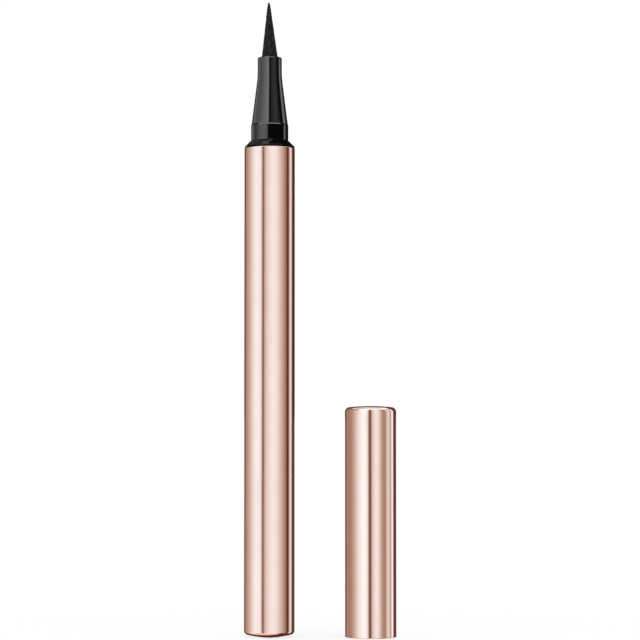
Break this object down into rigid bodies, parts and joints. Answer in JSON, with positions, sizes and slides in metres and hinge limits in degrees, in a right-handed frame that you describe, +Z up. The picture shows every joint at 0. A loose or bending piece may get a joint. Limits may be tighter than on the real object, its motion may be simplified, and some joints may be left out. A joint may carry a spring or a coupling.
{
  "type": "liquid eyeliner pen",
  "caption": "Slim felt-tip liquid eyeliner pen with a metal barrel standing upright, its cap taken off and standing beside it on its mouth.",
  "frame": {"origin": "centre of the flat base that the pen stands on", "axes": "+Z up along the pen's axis towards the nib, +X from the pen's axis towards the cap's axis"},
  "size_m": [0.0301, 0.0102, 0.1258],
  "materials": {
    "rose_gold_aluminium": "polished and anodised rose gold",
    "black_abs": "gloss moulded",
    "black_felt": "ground felt soaked with black ink",
    "inked_fibre": "bonded fibre soaked with black ink",
    "white_abs": "moulded",
    "natural_polypropylene": "translucent moulded",
    "natural_polyethylene": "soft moulded",
    "black_polypropylene": "satin moulded",
    "nitrile_rubber": "matte moulded",
    "stainless_steel": "bright"
  },
  "bodies": {
    "pen": {"barrel_shell": "rose_gold_aluminium", "front_section": "black_abs", "nib_holder": "black_abs", "felt_tip": "black_felt", "feed_core": "inked_fibre", "collector": "white_abs", "ink_tank": "natural_polypropylene", "tank_gasket": "nitrile_rubber", "tank_plug": "natural_polyethylene"},
    "ball": {"mixing_ball": "stainless_steel"},
    "cap": {"cap_shell": "rose_gold_aluminium", "cap_liner": "black_polypropylene", "cap_spring": "stainless_steel", "spring_seat": "black_polypropylene"},
    "seal": {"inner_cap": "natural_polyethylene"}
  },
  "joints": [
    {"name": "cap_lift", "type": "slide", "parent": "pen", "child": "cap", "axis": [0, 0, 1], "range_m": [0, 0.13]},
    {"name": "inner_cap_slide", "type": "slide", "parent": "cap", "child": "seal", "axis": [0, 0, 1], "range_m": [0, 0.0015], "stiffness_N_per_m": 330, "springref_m": -0.004, "deforming": ["cap_spring"]},
    {"name": "ball_run", "type": "slide", "parent": "pen", "child": "ball", "axis": [0, 0, 1], "range_m": [0, 0.053]}
  ]
}
